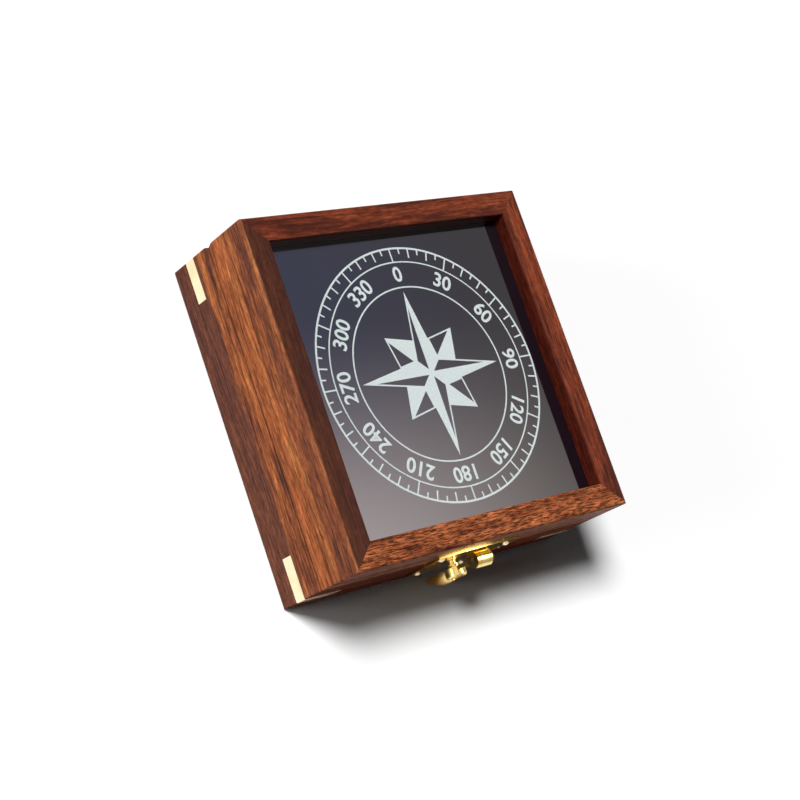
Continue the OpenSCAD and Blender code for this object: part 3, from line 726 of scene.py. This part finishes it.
def makeCardPrint(cardTop):
    inks = [plainFinish("cardInk", cardPrint["ink"], tone(40, 44, 52), 0.7, 0.5, 0.004),
            plainFinish("cardRed", cardPrint["red"], tone(148, 24, 22), 0.7, 0.5, 0.004),
            plainFinish("cardGold", cardPrint["gold"], tone(172, 132, 60), 0.7, 0.45, 0.004)]
    thick = cardPrint["thick"]
    floor = Matrix.Translation((0, 0, cardTop))
    lift = Matrix.Translation((0, 0, cardTop + thick * mm / 2))
    shape = bmesh.new()
    edge, ring = cardPrint["radius"], cardPrint["ringWidth"]
    for outer in (edge, edge - cardPrint["longTick"] - 0.5, cardPrint["roseRadius"] + 1.4):
        rings = ringOutlines(outer, ring, cardPrint["segments"])
        addMesh(shape, filledOutlines(rings, thick, lift))
    for angle in range(0, 360, cardPrint["tickEvery"]):
        length = cardPrint["longTick"] if angle % 10 == 0 else cardPrint["shortTick"]
        addTick(shape, cardPrint, angle, edge, length, lift)
    every = cardPrint["numberEvery"]
    for number in range(every, 360, every):  # an arrow stands in the place of 0
        addNumber(shape, cardPrint, number, lift)
    tall = cardPrint["numberRadius"]
    arrow = [(-1.5, tall - 2.0), (0, tall - 1.3), (1.5, tall - 2.0), (0, tall + 2.2)]
    addMesh(shape, filledOutlines([arrow], thick, lift), 1)
    small = cardPrint["smallRose"] * cardPrint["roseRadius"]
    roseStar(small, cardPrint["roseWaist"], 45, floor, shape, 0, 2)
    roseStar(cardPrint["roseRadius"], cardPrint["roseWaist"] * 0.9, 0,
             floor @ Matrix.Translation((0, 0, thick * mm / 2)), shape, 0, 2)
    keepMesh("cardPrint", meshOf(shape, "cardPrint"), inks, "card")


makeCardPrint(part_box("compass_card")[1].z)
print("card print made")


# Floor, world and lamps

studio = {
    "floorSize": 8.0,
    "floorTone": tone(176, 176, 176),  # as the part sees it; the camera sees it white
    "floorSeen": 1.12,  # white, with a little to spare where the part shades it
    "worldLevel": 0.024,
    "worldDark": 0.4,  # what metal and glass see of the room's dark side
    "worldBright": (-0.35, 0.45, 0.82),  # direction of the bright side
    "worldEdge": (-0.25, 0.55),  # where the dark side ends and where the bright one is full
    "keyStrength": 3.2,
    "keyFrom": (-0.44, 0.34, 0.83),
    "keyAngle": 17,
    "sideStrength": 0.8,
    "sideFrom": (-1.0, 0.14, 0.24),
    "sideAngle": 20,
    # A soft box that only glass and metal reflect: x and y over height where it starts, is
    # full, is full to and ends
    "softboxAcross": (-0.2, 0.3, 0.65, 1.05),
    "softboxAlong": (-0.7, -0.2, 0.10, 0.30),
    "softboxLevel": 10.0,
    "softboxTone": (1.0, 0.85, 0.76, 1),
}


def seenDirectly(tree):  # 1 for camera, glossy and transmission rays before any diffuse bounce
    path = addNode(tree, "ShaderNodeLightPath")
    first = combined(tree, "MAXIMUM", path.outputs["Is Camera Ray"],
                     path.outputs["Is Glossy Ray"])
    sharp = combined(tree, "MAXIMUM", first, path.outputs["Is Transmission Ray"])
    early = combined(tree, "LESS_THAN", path.outputs["Diffuse Depth"], 0.5)
    return combined(tree, "MULTIPLY", sharp, early)


def makeFloor():
    shape = bmesh.new()
    bmesh.ops.create_grid(shape, x_segments=8, y_segments=8, size=studio["floorSize"] / 2)
    bmesh.ops.translate(shape, verts=shape.verts, vec=(0, 0, -0.1 * mm))
    floor = bpy.data.objects.new("floor", meshOf(shape, "floor"))
    bpy.context.scene.collection.objects.link(floor)
    material = bpy.data.materials.new("floorPaper")
    material.use_nodes = True
    tree = material.node_tree
    tree.nodes.clear()
    output = addNode(tree, "ShaderNodeOutputMaterial")
    plain = addNode(tree, "ShaderNodeBsdfDiffuse", {"Color": studio["floorTone"]})
    bright = addNode(tree, "ShaderNodeBsdfDiffuse", {"Color": (studio["floorSeen"],) * 3 + (1,)})
    choice = addNode(tree, "ShaderNodeMixShader")
    tree.links.new(seenDirectly(tree), choice.inputs[0])
    tree.links.new(plain.outputs[0], choice.inputs[1])
    tree.links.new(bright.outputs[0], choice.inputs[2])
    tree.links.new(choice.outputs[0], output.inputs["Surface"])
    floor.data.materials.append(material)


def softboxEdge(tree, value, edge):
    start, full, fullTo, end = edge
    return combined(tree, "MULTIPLY", spread(tree, value, start, full),
                    spread(tree, value, fullTo, end, 1, 0))


def makeWorld():
    world = bpy.data.worlds.new("world")
    bpy.context.scene.world = world
    world.use_nodes = True
    tree = world.node_tree
    background = tree.nodes["Background"]
    background.inputs["Color"].default_value = (1, 1, 1, 1)
    direction = addNode(tree, "ShaderNodeTexCoord")
    toward = addNode(tree, "ShaderNodeVectorMath", operation="DOT_PRODUCT")
    toward.inputs[1].default_value = Vector(studio["worldBright"]).normalized()
    tree.links.new(direction.outputs["Generated"], toward.inputs[0])
    room = spread(tree, toward.outputs["Value"], *studio["worldEdge"], studio["worldDark"], 1.0)
    split = addNode(tree, "ShaderNodeSeparateXYZ")
    tree.links.new(direction.outputs["Generated"], split.inputs["Vector"])
    height = combined(tree, "MAXIMUM", split.outputs["Z"], 0.1)
    across = softboxEdge(tree, combined(tree, "DIVIDE", split.outputs["X"], height),
                        studio["softboxAcross"])
    along = softboxEdge(tree, combined(tree, "DIVIDE", split.outputs["Y"], height),
                       studio["softboxAlong"])
    level = combined(tree, "MULTIPLY", combined(tree, "MULTIPLY", across, along),
                     studio["softboxLevel"])
    glow = mixed(tree, 1.0, level, studio["softboxTone"], "MULTIPLY")
    room = mixed(tree, 1.0, room, glow, "ADD")
    path = addNode(tree, "ShaderNodeLightPath")
    level = mixed(tree, seenDirectly(tree), (studio["worldLevel"],) * 3 + (1,), room)
    level = mixed(tree, path.outputs["Is Camera Ray"], level, (1, 1, 1, 1))
    tree.links.new(level, background.inputs["Color"])


def makeSun(name, strength, origin, angle):
    data = bpy.data.lights.new(name, "SUN")
    data.energy = strength
    data.angle = math.radians(angle)
    lamp = bpy.data.objects.new(name, data)
    lamp.rotation_mode = "QUATERNION"
    lamp.rotation_quaternion = Vector(origin).to_track_quat("Z", "Y")
    bpy.context.scene.collection.objects.link(lamp)


makeFloor()
makeWorld()
makeSun("keyLamp", studio["keyStrength"], studio["keyFrom"], studio["keyAngle"])
makeSun("sideLamp", studio["sideStrength"], studio["sideFrom"], studio["sideAngle"])
bpy.context.scene.view_settings.view_transform = "Standard"
print("studio made")
